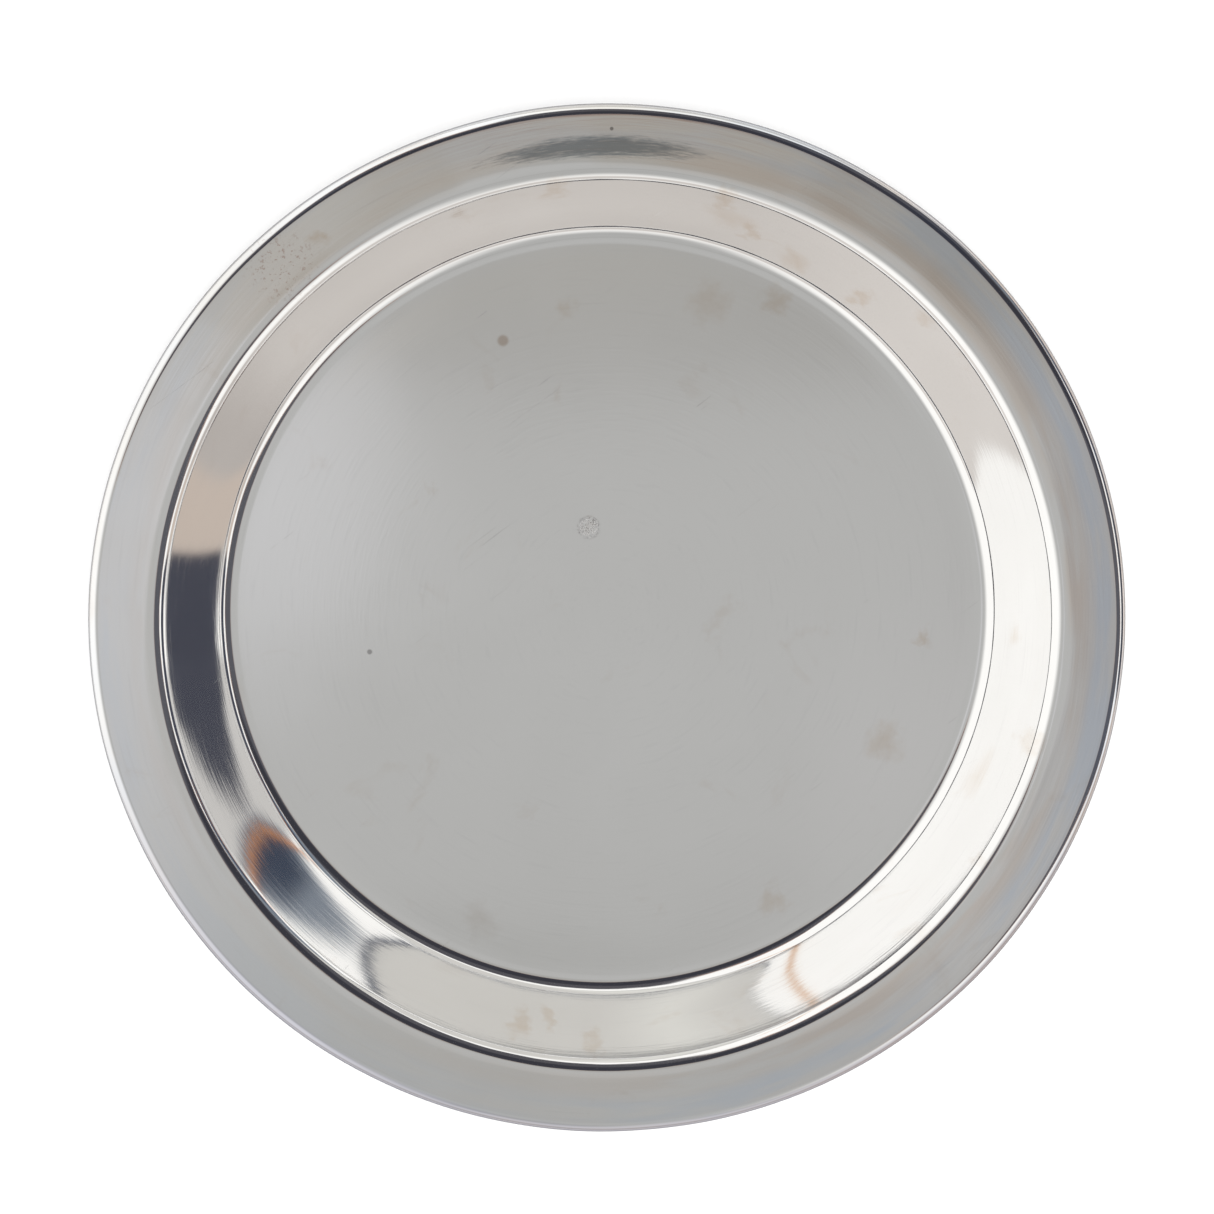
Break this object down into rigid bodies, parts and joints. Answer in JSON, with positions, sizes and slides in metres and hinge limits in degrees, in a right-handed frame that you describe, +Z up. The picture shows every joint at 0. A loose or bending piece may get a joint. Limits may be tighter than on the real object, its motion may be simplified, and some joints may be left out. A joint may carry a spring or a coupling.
{
  "type": "paten plate",
  "caption": "Round polished silver-plated communion plate with a wide flat well, a plain steep wall, a narrow flat rim and a rolled, wired lip.",
  "frame": {"origin": "centre of the flat underside of the well, on the surface that the plate stands on", "axes": "+Z up, along the axis that the plate is turned about"},
  "size_m": [0.23, 0.23, 0.0202],
  "materials": {
    "silver_plate": "polished silver plate, lightly brushed round the axis, with faint tarnish",
    "bare_wire": "drawn, dull"
  },
  "bodies": {
    "root": {"dish_sheet": "silver_plate", "edge_wire": "bare_wire"}
  },
  "joints": []
}
